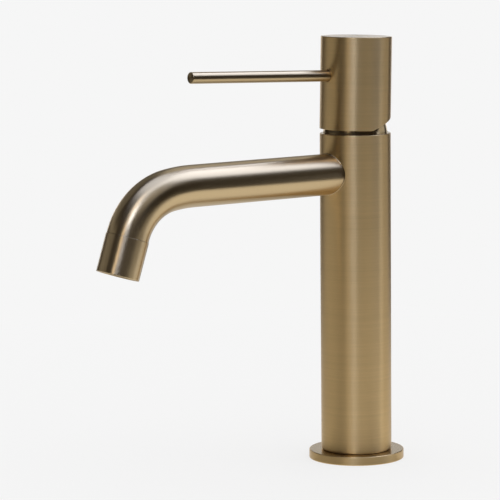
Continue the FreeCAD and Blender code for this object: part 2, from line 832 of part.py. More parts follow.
def make_disc_carrier():
    body = new_body("disc_carrier")
    primitive(body, "AdditiveCylinder", "carrier_plate", up, "0", "disc_offset", "carrier_level",
              Radius="moving_disc_radius", Height="carrier_height")
    primitive(body, "AdditiveBox", "carrier_tongue", up, "tongue_left", "tongue_front", "carrier_top",
              Length="tongue_width", Width="tongue_length", Height="tongue_height")
    slot(body, "ball_pocket_cut", "ball_pocket_width", "ball_pocket_width", "carrier_height",
         "ball_pocket_left", "ball_pocket_front", "carrier_level")
    slot(body, "neck_relief", "ball_pocket_width", "relief_length", "tongue_height",
         "ball_pocket_left", "relief_front", "carrier_top")
    return body


def make_cartridge_rotor():
    body = make_disc("cartridge_rotor", "inner_piece", "rotor_level", "rotor_top")
    slot(body, "stem_slot", "rotor_slot_width", "rotor_slot_length", "rotor_height",
         "rotor_slot_left", "rotor_slot_front", "rotor_level")
    slot(body, "tongue_groove", "rotor_groove_width", "cartridge_bore", "rotor_groove_depth",
         "rotor_groove_left", "rotor_groove_front", "rotor_level")
    bore(body, "pin_hole", "rotor_pin_hole", "cartridge_bore", "rotor_pin_start", "0", "pivot_level", across)
    return body


def make_pivot_pin():
    pin = doc.addObject("Part::Cylinder", "pivot_pin")
    pin.Label = "pivot_pin"
    pin.Placement = FreeCAD.Placement(Vector(0, 0, 0), Rotation(Vector(*across[0]), across[1]))
    bind(pin, Radius="pivot_pin_radius", Height="pivot_pin_length")
    place(pin, "pivot_pin_start", "0", "pivot_level")
    return pin


def make_retaining_nut():
    body = new_body("retaining_nut")
    turned(body, "nut_turned", [
        ("nut_inner", "shoulder_level"),
        ("nut_radius", "shoulder_level"),
        ("nut_radius", "valve_top"),
        ("nut_collar", "valve_top"),
        ("nut_collar", "nut_top"),
        ("nut_inner", "nut_top"),
    ])
    key = slot(body, "nut_slot", "nut_slot_width", "nut_radius", "nut_slot_depth",
               "nut_slot_left", "0", "nut_slot_level")
    repeat_round(body, "nut_slots", key, "nut_slot_count")
    return body


def make_dome_cover():
    body = new_body("dome_cover")
    turned(body, "dome_turned", [
        ("dome_thread", "valve_top"),
        ("plug_radius", "valve_top"),
        ("plug_radius", "column_top"),
        ("dome_radius", "column_top"),
        ("dome_top_radius", "dome_top"),
        ("nut_inner", "dome_top"),
        ("nut_inner", "dome_ceiling"),
        ("dome_thread", "dome_ceiling"),
    ], {3: ("dome_radius", "column_top")})
    return body


# Stem, handle and lever, drawn upright about the pivot and leaned back together

def at_pivot(body):
    place(body, "0", "0", "pivot_level", (-1, 0, 0), "rest_lean")
    return body


def make_cartridge_stem():
    body = new_body("cartridge_stem")
    primitive(body, "AdditiveBox", "stem_bar", up, "stem_left", "stem_left", "stem_low",
              Length="stem_width", Width="stem_width", Height="stem_height")
    primitive(body, "AdditiveCylinder", "stem_neck", up, "0", "0", "stem_neck_start",
              Radius="stem_neck_radius", Height="stem_arm")
    primitive(body, "AdditiveSphere", "stem_ball", up, "0", "0", "stem_neck_start", Radius="stem_ball_radius")
    bore(body, "pivot_bore", "pivot_hole", "stem_width", "stem_left", "0", "0", across)
    return at_pivot(body)


def make_handle_cap():
    body = new_body("handle_cap")
    turned(body, "handle_turned", [
        ("cavity_radius", "handle_low"),
        ("handle_radius", "handle_low"),
        ("handle_radius", "handle_shoulder"),
        ("handle_rim", "handle_high"),
        ("0", "handle_high"),
        ("0", "cavity_roof"),
        ("cavity_radius", "cavity_roof"),
    ])
    slant = outline(body, "slant_profile", "YZ_Plane", [
        ("-cut_advance", "handle_low"),
        ("cut_rear", "handle_low"),
        ("cut_rear", "cut_rise"),
    ])
    cut = body.newObject("PartDesign::Pocket", "slant_cut")
    cut.Profile = slant
    cut.SideType = "Symmetric"
    bind(cut, Length="cut_width")
    slot(body, "stem_socket", "socket_width", "socket_width", "socket_height",
         "socket_left", "socket_left", "cavity_roof")
    drill = ((1, 0, 0), size("lever_drill"))
    for name, radius, y, z in (
        ("lever_thread_bore", "lever_thread_hole", "0", "lever_rise"),
        ("lever_seat_bore", "lever_hole", "lever_seat_y", "lever_seat_z"),
    ):
        hole = bore(body, name, radius, "handle_radius", "0", y, z, drill)
        bind(hole, Placement__Rotation__Angle="lever_drill")
    return at_pivot(body)


def on_lever_axis(body):
    place(body, "0", "lever_axis_y", "lever_axis_z", (1, 0, 0), "lever_turn")
    return body


def make_lever_rod():
    body = new_body("lever_rod")
    turned(body, "lever_turned", [
        ("0", "lever_thread_start"),
        ("lever_thread_radius", "lever_thread_start"),
        ("lever_thread_radius", "lever_seat"),
        ("lever_radius", "lever_seat"),
        ("lever_radius", "lever_shoulder"),
        ("lever_rim", "lever_tip"),
        ("0", "lever_tip"),
    ])
    return on_lever_axis(body)


def make_handle_grub_screw():
    body = make_disc("handle_grub_screw", "lever_thread_radius", "grub_start", "grub_end")
    key = primitive(body, "SubtractivePrism", "grub_key", up, "0", "0", "grub_key_start",
                    Circumradius="grub_key_radius", Height="grub_key_depth")
    key.Polygon = 6
    return on_lever_axis(body)


pieces = [
    make_base_flange(),
    ring("base_gasket", "gasket_inner", "gasket_outer", "0", "gasket_height"),
    make_base_block(),
    make_column_tube(),
    make_riser_pipe("hot_riser_pipe", "-inlet_x"),
    make_riser_pipe("cold_riser_pipe", "inlet_x"),
    make_valve_block(),
    make_spout_tube(),
    make_aerator_sleeve(),
    at_outlet(ring("aerator_washer", "washer_bore_radius", "insert_radius", "insert_top", "washer_top")),
    make_aerator_housing(),
    make_aerator_screen(),
    make_aerator_diffuser(),
    make_cartridge_housing(),
    make_cartridge_base(),
    make_seals("port_seals", "seat_level"),
    make_seals("disc_seals", "upper_seal_level"),
    make_fixed_ceramic_disc(),
    make_moving_ceramic_disc(),
    make_disc_carrier(),
    make_cartridge_rotor(),
    make_pivot_pin(),
    make_retaining_nut(),
    make_dome_cover(),
    make_cartridge_stem(),
    make_handle_cap(),
    make_lever_rod(),
    make_handle_grub_screw(),
]
doc.recompute()

# Nothing is written unless every feature worked and every cut took something away.
for item in doc.Objects:
    if "Invalid" in item.State or "Error" in item.State:
        raise RuntimeError("%s failed: %s" % (item.Name, item.State))
    if item.TypeId.startswith(("PartDesign::Subtractive", "PartDesign::Pocket")):
        if item.Shape.Volume >= item.BaseFeature.Shape.Volume:
            raise RuntimeError("%s cuts nothing" % item.Name)

for piece in pieces:
    if piece.Shape.isNull() or not piece.Shape.isValid() or not piece.Shape.Solids:
        raise RuntimeError("%s has no sound shape" % piece.Label)

os.makedirs("parts", exist_ok=True)
for piece in pieces:
    piece.Shape.exportStep("parts/%s.step" % piece.Label)
    print("%-20s %9.1f mm3, %d solid(s)" % (piece.Label, piece.Shape.Volume, len(piece.Shape.Solids)))
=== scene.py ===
import math

import bpy
from mathutils import Matrix, Vector


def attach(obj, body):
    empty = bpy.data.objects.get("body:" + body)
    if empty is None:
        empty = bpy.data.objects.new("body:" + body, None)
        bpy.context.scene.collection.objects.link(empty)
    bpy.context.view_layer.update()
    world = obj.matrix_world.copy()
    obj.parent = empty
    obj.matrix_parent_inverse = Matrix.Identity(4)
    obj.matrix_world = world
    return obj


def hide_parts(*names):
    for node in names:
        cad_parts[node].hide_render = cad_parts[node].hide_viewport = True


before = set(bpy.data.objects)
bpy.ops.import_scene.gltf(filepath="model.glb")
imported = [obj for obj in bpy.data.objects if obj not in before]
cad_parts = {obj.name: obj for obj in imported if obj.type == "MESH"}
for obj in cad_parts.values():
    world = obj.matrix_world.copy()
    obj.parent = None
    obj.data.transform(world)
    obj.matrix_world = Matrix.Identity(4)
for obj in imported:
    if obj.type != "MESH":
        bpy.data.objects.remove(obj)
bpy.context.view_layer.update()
mm = 0.001
print("frame loaded:", len(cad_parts), "nodes")

# shapes turned on a lathe: profiles are (radius, height) in mm, anticlockwise round the metal
# a span much longer than its neighbour keeps its own normal, and so do two spans that meet at a crease
lathe = {"arcSteps": 5, "creaseCosine": 0.82, "longSpan": 4, "sharpAngle": math.radians(25),
         "wallTolerance": 0.004 * mm, "flatCosine": 0.9995, "endCosine": 0.9}


def softened(corners):
    # each corner is (radius, height, edge radius); an edge radius becomes a small arc
    steps = lathe["arcSteps"]
    points = []
    for i, (x, y, edge) in enumerate(corners):
        here = Vector((x, y))
        if not edge:
            points.append(here)
            continue
        before = (Vector(corners[i - 1][:2]) - here).normalized()
        after = (Vector(corners[(i + 1) % len(corners)][:2]) - here).normalized()
        half = before.angle(after) / 2
        centre = here + (before + after).normalized() * edge / math.sin(half)
        spoke = here + before * edge / math.tan(half) - centre
        sweep = math.pi - 2 * half
        if before.cross(after) > 0:
            sweep = -sweep
        for k in range(steps + 1):
            points.append(centre + Matrix.Rotation(sweep * k / steps, 2) @ spoke)
    return points


def spanNormals(points, closed):
    # normals at both ends of each span
    spans = []
    count = len(points) if closed else len(points) - 1
    for i in range(count):
        step = points[(i + 1) % len(points)] - points[i]
        spans.append((Vector((step.y, -step.x)).normalized(), step.length))
    ends = []
    for i, (normal, length) in enumerate(spans):
        pair = []
        for other in (i - 1, i + 1):
            if not closed and not 0 <= other < count:
                pair.append(normal)
                continue
            nextNormal, nextLength = spans[other % count]
            crease = normal.dot(nextNormal) < lathe["creaseCosine"]
            if crease or length > lathe["longSpan"] * nextLength:
                pair.append(normal)
            elif nextLength > lathe["longSpan"] * length:
                pair.append(nextNormal)
            else:
                pair.append((normal + nextNormal).normalized())
        ends.append(pair)
    return ends


def roundTurns(count):
    return [2 * math.pi * k / count for k in range(count)]


def turned(name, points, place=Matrix(), sides=192, closed=True, lift=None, turns=None):
    # lift(x, y, z) may raise a point; turns are the angles of the sides
    turns = turns or roundTurns(sides)
    sides = len(turns)
    points = [Vector(p) for p in points]
    vertices, rings, raised = [], [], []
    for radius, height in points:
        ring = []
        for k, turn in enumerate(turns):
            if radius == 0 and k:
                ring.append(ring[0])
                continue
            x, y = radius * math.cos(turn), radius * math.sin(turn)
            z = lift(x, y, height) if lift else height
            ring.append(len(vertices))
            vertices.append(place @ (Vector((x, y, z)) * mm))
            raised.append((z - height) * mm)
        rings.append(ring)
    along = [0.0]
    for i in range(len(points)):
        along.append(along[-1] + (points[(i + 1) % len(points)] - points[i]).length * mm)
    faces, uvs, normals = [], [], []
    turning = place.to_3x3()
    for i, (first, last) in enumerate(spanNormals(points, closed)):
        j = (i + 1) % len(points)
        if points[i][0] == points[j][0] == 0:
            continue
        for k in range(sides):
            n = (k + 1) % sides
            corners = [(i, k, 0), (i, n, 1), (j, n, 1), (j, k, 0)]
            if points[i][0] == 0:
                corners.pop(1)
            elif points[j][0] == 0:
                corners.pop(2)
            faces.append([rings[a][b] for a, b, c in corners])
            for a, b, c in corners:
                turn = turns[b]
                flat = first if a == i else last
                normals.append(turning @ Vector((flat.x * math.cos(turn), flat.x * math.sin(turn), flat.y)))
                rise = raised[rings[a][b]] * first.x  # lines stay level up to a slanted edge
                uvs.append(((along[i] if a == i else along[i + 1]) + rise, (k + c) / sides))
    mesh = bpy.data.meshes.new(name)
    mesh.from_pydata(vertices, [], faces)
    layer = mesh.uv_layers.new(name="UVMap")
    for i, uv in enumerate(uvs):
        layer.data[i].uv = uv
    mesh.shade_smooth()
    mesh.normals_split_custom_set(normals)
    return addPiece(name, mesh)


def addPiece(name, mesh):
    piece = bpy.data.objects.new(name, mesh)
    bpy.context.scene.collection.objects.link(piece)
    return piece


def plainMesh(piece, name):
    # what the modifiers make, as a plain mesh in a piece of its own
    bpy.context.view_layer.update()
    evaluated = piece.evaluated_get(bpy.context.evaluated_depsgraph_get())
    mesh = bpy.data.meshes.new_from_object(evaluated)
    mesh.name = name
    bpy.data.objects.remove(piece)
    return addPiece(name, mesh)


def drilled(piece, cutter):
    cut = piece.modifiers.new("hole", "BOOLEAN")
    cut.solver = "EXACT"
    cut.object = cutter
    made = plainMesh(piece, piece.name)
    bpy.data.objects.remove(cutter)
    return made


def trueWall(piece, place, radius):
    # after drilling, the round wall and the flat ends get their exact normals again
    mesh = piece.data
    mesh.shade_smooth()
    mesh.set_sharp_from_angle(angle=lathe["sharpAngle"])
    inside = place.inverted()
    turning = place.to_3x3()
    axis = turning @ Vector((0, 0, 1))
    normals = [Vector(n.vector) for n in mesh.corner_normals]
    for face in mesh.polygons:
        local = [inside @ mesh.vertices[v].co for v in face.vertices]
        if all(abs(p.xy.length - radius * mm) < lathe["wallTolerance"] for p in local):
            for loop, p in zip(face.loop_indices, local):
                normals[loop] = turning @ Vector((p.x, p.y, 0)).normalized()
        elif abs(face.normal.dot(axis)) > lathe["flatCosine"]:
            for loop in face.loop_indices:
                normals[loop] = face.normal.copy()
    mesh.normals_split_custom_set(normals)


# node trees

def newTree(name, kind, inputs, outputs):
    # inputs are (name, kind of socket, starting value), outputs (name, kind of socket)
    tree = bpy.data.node_groups.new(name, kind)
    for label, socketKind, *start in inputs:
        socket = tree.interface.new_socket(label, in_out="INPUT", socket_type="NodeSocket" + socketKind)
        if start:
            socket.default_value = start[0]
    for label, socketKind in outputs:
        tree.interface.new_socket(label, in_out="OUTPUT", socket_type="NodeSocket" + socketKind)
    return tree, addNode(tree, "NodeGroupInput").outputs


def fill(tree, node, inputs):
    # inputs, by name or number, are outputs of other nodes or plain values
    for key, value in inputs.items():
        if isinstance(value, bpy.types.NodeSocket):
            tree.links.new(value, node.inputs[key])
        else:
            node.inputs[key].default_value = value


def addNode(tree, kind, inputs=None, **settings):
    node = tree.nodes.new(kind)
    for key, value in settings.items():
        setattr(node, key, value)
    fill(tree, node, inputs or {})
    return node


def worked(tree, operation, *values, **settings):
    node = addNode(tree, "ShaderNodeMath", dict(enumerate(values)), operation=operation, **settings)
    return node.outputs[0]


def vectorWorked(tree, operation, *values):
    node = addNode(tree, "ShaderNodeVectorMath", dict(enumerate(values)), operation=operation)
    return node.outputs["Vector"]


def lengthOf(tree, vector):
    return addNode(tree, "ShaderNodeVectorMath", {0: vector}, operation="LENGTH").outputs["Value"]


def endTree(tree, geometry, finish, label):
    real = addNode(tree, "GeometryNodeRealizeInstances", {"Geometry": geometry}).outputs["Geometry"]
    finished = addNode(tree, "GeometryNodeSetMaterial", {"Geometry": real, "Material": finish})
    addNode(tree, "NodeGroupOutput", {label: finished.outputs["Geometry"]})


def keptOnPoints(tree, label, curve, value):
    keeper = addNode(tree, "GeometryNodeCaptureAttribute", domain="POINT")
    keeper.capture_items.new("FLOAT", label)
    fill(tree, keeper, {"Geometry": curve.outputs["Curve"], label: value})
    return keeper.outputs


def pathTubeTree():
    # a ring swept along the carrier's edges; the UV map goes along the path and round the ring
    tree, given = newTree("tubeAlongPath", "GeometryNodeTree", [
        ("Path", "Geometry"), ("Tube Radius", "Float", 0.01), ("End Flare", "Float", 0.0),
        ("Sides", "Int", 24), ("Finish", "Material")], [("Tube", "Geometry")])
    flarePower = 4  # the flare comes near the path's end
    pathSpot = addNode(tree, "GeometryNodeSplineParameter").outputs
    ringSpot = addNode(tree, "GeometryNodeSplineParameter").outputs
    curve = addNode(tree, "GeometryNodeMeshToCurve", {"Mesh": given["Path"]})
    path = keptOnPoints(tree, "Along", curve, pathSpot["Length"])
    circle = addNode(tree, "GeometryNodeCurvePrimitiveCircle", {
        "Resolution": given["Sides"], "Radius": given["Tube Radius"]}, mode="RADIUS")
    ring = keptOnPoints(tree, "Round", circle, ringSpot["Factor"])
    late = worked(tree, "POWER", pathSpot["Factor"], flarePower)
    flare = worked(tree, "MULTIPLY_ADD", late, given["End Flare"], 1)
    widened = addNode(tree, "GeometryNodeSetCurveRadius", {"Curve": path["Geometry"], "Radius": flare})
    sweep = addNode(tree, "GeometryNodeCurveToMesh", {
        "Curve": widened.outputs["Curve"], "Profile Curve": ring["Geometry"], "Fill Caps": True})
    smooth = addNode(tree, "GeometryNodeSetShadeSmooth", {"Geometry": sweep.outputs["Mesh"]})
    unwrap = addNode(tree, "ShaderNodeCombineXYZ", {"X": path["Along"], "Y": ring["Round"]})
    store = addNode(tree, "GeometryNodeStoreNamedAttribute", data_type="FLOAT2", domain="CORNER")
    fill(tree, store, {
        "Geometry": smooth.outputs["Geometry"], "Name": "UVMap", "Value": unwrap.outputs["Vector"]})
    endTree(tree, store.outputs["Geometry"], given["Finish"], "Tube")
    return tree


def grown(name, carrier, tree, values):
    # runs a node tree on a carrier mesh; values are set by the inputs' identifiers
    piece = addPiece(name + "Carrier", carrier)
    maker = piece.modifiers.new("maker", "NODES")
    maker.node_group = tree
    for item in tree.interface.items_tree:
        if item.item_type == "SOCKET" and item.in_out == "INPUT" and item.name in values:
            maker[item.identifier] = values[item.name]
    return plainMesh(piece, name)


def pathMesh(name, points, closed=False):
    mesh = bpy.data.meshes.new(name)
    edges = [(i, i + 1) for i in range(len(points) - 1)]
    if closed:
        edges.append((len(points) - 1, 0))
    mesh.from_pydata([Vector(p) * mm for p in points], edges, [])
    return mesh


# finishes: a group gives the colour, roughness and height that change over the surface

def surfaceGroup(name, inputs):
    outputs = [("Color", "Color"), ("Roughness", "Float"), ("Height", "Float")]
    return newTree(name, "ShaderNodeTree", inputs, outputs)


def surfaceOutputs(tree, given, level, height, contrast):
    # the level is nought on average; it shades the tint and shifts the roughness
    shade = worked(tree, "MULTIPLY_ADD", level, contrast, 1)
    tone = addNode(tree, "ShaderNodeVectorMath", {0: given["Tint"], "Scale": shade}, operation="SCALE")
    rough = worked(tree, "MULTIPLY_ADD", level, given["Roughness Spread"], given["Roughness"], use_clamp=True)
    addNode(tree, "NodeGroupOutput", {"Color": tone.outputs["Vector"], "Roughness": rough, "Height": height})


# brushed layers are (share of the lines per metre, weight): fine lines, wider ones that show from a step
# away, and slow bands
brush = {"layers": ((1.0, 0.4), (0.17, 0.2), (0.03, 0.2)), "detail": 2, "driftScale": 38, "wander": 3,
         "depth": 0.02}


def brushLinesGroup():
    # lines that run round the piece: they follow the UV map's first axis, which goes along the profile
    tree, given = surfaceGroup("brushLines", [
        ("Tint", "Color", (0.5, 0.4, 0.2, 1)), ("Lines per Metre", "Float", 5000.0),
        ("Line Contrast", "Float", 0.1), ("Roughness", "Float", 0.3), ("Roughness Spread", "Float", 0.1)])
    spots = addNode(tree, "ShaderNodeTexCoord").outputs["Object"]
    unwrap = addNode(tree, "ShaderNodeUVMap", uv_map="UVMap").outputs["UV"]
    along = addNode(tree, "ShaderNodeSeparateXYZ", {"Vector": unwrap}).outputs["X"]
    drift = addNode(tree, "ShaderNodeTexNoise", {
        "Vector": spots, "Scale": brush["driftScale"], "Detail": brush["detail"]})
    wander = worked(tree, "MULTIPLY", drift.outputs["Fac"], brush["wander"])
    level = -sum(weight for share, weight in brush["layers"]) / 2  # noise about a half adds up to nothing
    for share, weight in brush["layers"]:
        run = worked(tree, "MULTIPLY", along, worked(tree, "MULTIPLY", given["Lines per Metre"], share))
        place = addNode(tree, "ShaderNodeCombineXYZ", {"X": run, "Y": wander}).outputs["Vector"]
        lines = addNode(tree, "ShaderNodeTexNoise", noise_dimensions="2D")
        fill(tree, lines, {"Vector": place, "Scale": 1, "Detail": brush["detail"]})
        level = worked(tree, "MULTIPLY_ADD", lines.outputs["Fac"], weight, level)
    surfaceOutputs(tree, given, level, level, given["Line Contrast"])
    return tree


grain = {"detail": 3, "blotchScale": 180, "blotchShare": 0.35, "depth": 0.05}


def fineGrainGroup():
    # grain in Object coordinates; ring lines follow radius and height, as a lathe leaves them
    tree, given = surfaceGroup("fineGrain", [
        ("Tint", "Color", (0.5, 0.5, 0.5, 1)), ("Grain per Metre", "Vector", (500, 500, 500)),
        ("Ring Lines per Metre", "Float", 0.0), ("Shade Spread", "Float", 0.1), ("Roughness", "Float", 0.5),
        ("Roughness Spread", "Float", 0.1)])
    spots = addNode(tree, "ShaderNodeTexCoord").outputs["Object"]
    height = addNode(tree, "ShaderNodeSeparateXYZ", {"Vector": spots}).outputs["Z"]
    radius = lengthOf(tree, vectorWorked(tree, "MULTIPLY", spots, (1, 1, 0)))
    rings = worked(tree, "MULTIPLY", worked(tree, "ADD", radius, height), given["Ring Lines per Metre"])
    sideways = addNode(tree, "ShaderNodeCombineXYZ", {"X": rings}).outputs["Vector"]
    scaled = vectorWorked(tree, "MULTIPLY", spots, given["Grain per Metre"])
    place = vectorWorked(tree, "ADD", scaled, sideways)
    fine = addNode(tree, "ShaderNodeTexNoise", {"Vector": place, "Scale": 1, "Detail": grain["detail"]})
    blotch = addNode(tree, "ShaderNodeTexNoise", {"Vector": spots, "Scale": grain["blotchScale"]})
    both = addNode(tree, "ShaderNodeMix", data_type="FLOAT")
    fill(tree, both, {"Factor": grain["blotchShare"], "A": fine.outputs["Fac"], "B": blotch.outputs["Fac"]})
    level = worked(tree, "SUBTRACT", both.outputs["Result"], 0.5)
    surfaceOutputs(tree, given, level, fine.outputs["Fac"], given["Shade Spread"])
    return tree


def patterned(name, group, look, depth, patternValues, shaderValues):
    # what is the same all over is set on the shader itself
    finish = bpy.data.materials.new(name)
    finish.use_nodes = True
    tree = finish.node_tree
    pattern = addNode(tree, "ShaderNodeGroup", node_tree=group)
    fill(tree, pattern, {
        "Tint": (*look["tint"], 1), "Roughness": look["roughness"], "Roughness Spread": look["spread"]})
    fill(tree, pattern, patternValues)
    bump = addNode(tree, "ShaderNodeBump", {
        "Strength": look["bump"], "Distance": depth * mm, "Height": pattern.outputs["Height"]})
    shader = tree.nodes["Principled BSDF"]
    fill(tree, shader, shaderValues)
    fill(tree, shader, {
        "Base Color": pattern.outputs["Color"], "Roughness": pattern.outputs["Roughness"],
        "Normal": bump.outputs["Normal"]})
    return finish


brushLines = brushLinesGroup()
fineGrain = fineGrainGroup()


def brushedMetal(name, look):
    finish = patterned(name, brushLines, look, brush["depth"], {
        "Lines per Metre": look["lines"], "Line Contrast": look["contrast"],
    }, {"Metallic": 1, "Anisotropic": look["stretch"]})
    tree = finish.node_tree
    tangent = addNode(tree, "ShaderNodeTangent", direction_type="UV_MAP", uv_map="UVMap")
    fill(tree, tree.nodes["Principled BSDF"], {"Tangent": tangent.outputs["Tangent"]})
    return finish


def grainedFinish(name, look):
    return patterned(name, fineGrain, look, grain["depth"], {
        "Grain per Metre": look["grain"], "Ring Lines per Metre": look.get("rings", 0),
        "Shade Spread": look["shade"],
    }, {"Metallic": look["metal"], "Specular IOR Level": look.get("gloss", 0.5)})


brushedBronze = brushedMetal("brushedBronze", {
    "tint": (0.672, 0.466, 0.211), "lines": 6000, "contrast": 0.45, "roughness": 0.42, "spread": 0.14,
    "bump": 0.02, "stretch": 0.87})
polishedBronze = brushedMetal("polishedBronze", {
    "tint": (0.54, 0.41, 0.23), "lines": 9000, "contrast": 0.05, "roughness": 0.2, "spread": 0.02,
    "bump": 0.0, "stretch": 0.3})
satin = {"lines": 8000, "contrast": 0.1, "roughness": 0.295, "spread": 0.03, "bump": 0.0003, "stretch": 0.65}
satinBronze = brushedMetal("satinBronze", {"tint": (0.60, 0.45, 0.25), **satin})
# painted shade: the lever takes the satin finish with its tint darkened by about an eighth, a shaded copy of
# the spout's finish
shadedLeverBronze = brushedMetal("shadedLeverBronze", {"tint": (0.52, 0.39, 0.215), **satin})

# finishes of the parts inside and underneath, with the nodes that keep their solid's shape
innerLooks = {
    "turnedBrass": {
        "nodes": ["valve_block", "retaining_nut"], "tint": (0.72, 0.56, 0.28), "metal": 1,
        "grain": (40, 40, 40), "rings": 5000, "shade": 0.3, "roughness": 0.3, "spread": 0.2, "bump": 0.05},
    "milledBrass": {
        "nodes": ["cartridge_stem"], "tint": (0.72, 0.56, 0.28), "metal": 1,
        "grain": (500, 500, 5000), "shade": 0.3, "roughness": 0.28, "spread": 0.15, "bump": 0.05},
    "drawnCopper": {
        "nodes": ["hot_riser_pipe", "cold_riser_pipe"], "tint": (0.72, 0.4, 0.26), "metal": 1,
        "grain": (3000, 3000, 40), "shade": 0.45, "roughness": 0.3, "spread": 0.25, "bump": 0.04},
    "sealRubber": {
        "nodes": ["base_gasket", "aerator_washer", "port_seals", "disc_seals"], "tint": (0.03, 0.03, 0.03),
        "metal": 0, "gloss": 0.35,
        "grain": (2500, 2500, 2500), "shade": 0.8, "roughness": 0.7, "spread": 0.3, "bump": 0.25},
    "mouldedPlastic": {
        "nodes": ["cartridge_housing", "cartridge_base", "cartridge_rotor", "disc_carrier"],
        "tint": (0.75, 0.75, 0.73), "metal": 0,
        "grain": (1500, 1500, 1500), "shade": 0.08, "roughness": 0.42, "spread": 0.15, "bump": 0.1},
    "greyPlastic": {
        "nodes": ["aerator_housing", "aerator_diffuser"], "tint": (0.6, 0.61, 0.62), "metal": 0,
        "grain": (1500, 1500, 1500), "shade": 0.1, "roughness": 0.45, "spread": 0.15, "bump": 0.1},
    "lappedCeramic": {
        "nodes": ["fixed_ceramic_disc", "moving_ceramic_disc"], "tint": (0.85, 0.84, 0.82), "metal": 0,
        "grain": (4000, 4000, 4000), "shade": 0.06, "roughness": 0.16, "spread": 0.1, "bump": 0.02},
    "groundSteel": {
        "nodes": ["pivot_pin", "handle_grub_screw"], "tint": (0.55, 0.55, 0.55), "metal": 1,
        "grain": (200, 5000, 200), "shade": 0.3, "roughness": 0.3, "spread": 0.2, "bump": 0.04},
}
innerFinishes = {}
for name, look in innerLooks.items():
    innerFinishes[name] = grainedFinish(name, look)
    for nodeName in look["nodes"]:
        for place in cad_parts[nodeName].material_slots:
            place.material = innerFinishes[name]
turnedBrass = innerFinishes["turnedBrass"]
greyPlastic = innerFinishes["greyPlastic"]
print("finishes made")


def dress(piece, finish, body, slotName, *replaced, endFinish=None, axis=Vector((0, 0, 1))):
    # the flat ends of a brushed piece may have a finish of their own
    piece.data.materials.clear()
    piece.data.materials.append(finish)
    if endFinish:
        piece.data.materials.append(endFinish)
    for face in piece.data.polygons:
        atEnd = endFinish and abs(face.normal.dot(axis)) > lathe["endCosine"]
        face.material_index = 1 if atEnd else 0
    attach(piece, body)
    if replaced:
        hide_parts(*replaced)


# foot
flange = {"radius": 25.6, "bore": 15.55, "height": 4.6, "edge": 0.45, "footEdge": 0.2,
          "grooveInner": 20.3, "grooveOuter": 23.5, "grooveDepth": 1.6}
flangePiece = turned("footFlange", softened([
    (flange["bore"], 0, 0),
    (flange["grooveInner"], 0, 0),
    (flange["grooveInner"], flange["grooveDepth"], 0),
    (flange["grooveOuter"], flange["grooveDepth"], 0),
    (flange["grooveOuter"], 0, 0),
    (flange["radius"], 0, flange["footEdge"]),
    (flange["radius"], flange["height"], flange["edge"]),
    (flange["bore"], flange["height"], 0),
]))
dress(flangePiece, brushedBronze, "faucet_body", "brushed_bronze", "base_flange", endFinish=polishedBronze)

# column with the hole that the spout goes into
column = {"radius": 19.0, "bore": 17.0, "bottom": 4.6, "top": 176.5, "edge": 0.4, "footEdge": 1.2,
          "sides": 256}
spout = {"level": 155.3, "radius": 11.0, "start": 14.5, "run": 105.6, "sides": 160,
         "leadRadius": 85.0, "leadAngle": 10.0, "leadSteps": 20,
         "bendRadius": 32.0, "bendAngle": 71.8, "bendSteps": 90,
         "tail": 0.9, "seamGap": 0.12, "endFlare": 0.018, "holePlay": 0.05, "holeReach": 40}
columnPiece = turned("columnTube", softened([
    (column["bore"], column["bottom"], 0),
    (column["radius"], column["bottom"], column["footEdge"]),
    (column["radius"], column["top"], column["edge"]),
    (column["bore"], column["top"], 0),
]), sides=column["sides"])
towardsFront = Matrix.Translation((0, 0, spout["level"] * mm)) @ Matrix.Rotation(math.pi / 2, 4, "X")
holeRadius = spout["radius"] + spout["holePlay"]
columnPiece = drilled(columnPiece, turned("spoutHole", [
    (0, 0), (holeRadius, 0), (holeRadius, spout["holeReach"]), (0, spout["holeReach"]),
], towardsFront, closed=False))
trueWall(columnPiece, Matrix(), column["radius"])
dress(columnPiece, brushedBronze, "faucet_body", "brushed_bronze", "column_tube", endFinish=polishedBronze)
print("column drilled")

# spout, bent along its path: gently at first, then at the tighter radius
spoutPath = [Vector((0, -spout["start"], spout["level"])), Vector((0, -spout["run"], spout["level"]))]
bend = 0.0
for arc in ("lead", "bend"):
    radius, steps = spout[arc + "Radius"], spout[arc + "Steps"]
    first, last = bend, math.radians(spout[arc + "Angle"])
    centre = spoutPath[-1] + Vector((0, math.sin(first), -math.cos(first))) * radius
    for k in range(1, steps + 1):
        turn = first + (last - first) * k / steps
        spoutPath.append(centre + Vector((0, -math.sin(turn), math.cos(turn))) * radius)
    bend = last
downLeg = Vector((0, -math.cos(bend), -math.sin(bend)))
seam = spoutPath[-1] + downLeg * spout["tail"]
spoutPath.append(seam - downLeg * spout["seamGap"])
tubeTree = pathTubeTree()
spoutPiece = grown("spoutTube", pathMesh("spoutPath", spoutPath), tubeTree, {
    "Tube Radius": spout["radius"] * mm, "End Flare": spout["endFlare"], "Sides": spout["sides"],
    "Finish": satinBronze})
dress(spoutPiece, satinBronze, "faucet_body", "polished_bronze", "spout_tube")

# thin bead where the spout meets the column
bead = {"radius": 0.35, "sides": 12, "steps": 160}
joint = []
for turn in roundTurns(bead["steps"]):
    x = spout["radius"] * math.cos(turn)
    y = -math.sqrt(column["radius"] ** 2 - x * x)
    joint.append((x, y, spout["level"] + spout["radius"] * math.sin(turn)))
beadPiece = grown("spoutBead", pathMesh("beadPath", joint, True), tubeTree, {
    "Tube Radius": bead["radius"] * mm, "End Flare": 0.0, "Sides": bead["sides"], "Finish": polishedBronze})
dress(beadPiece, polishedBronze, "faucet_body", "polished_bronze")
print("spout bent")

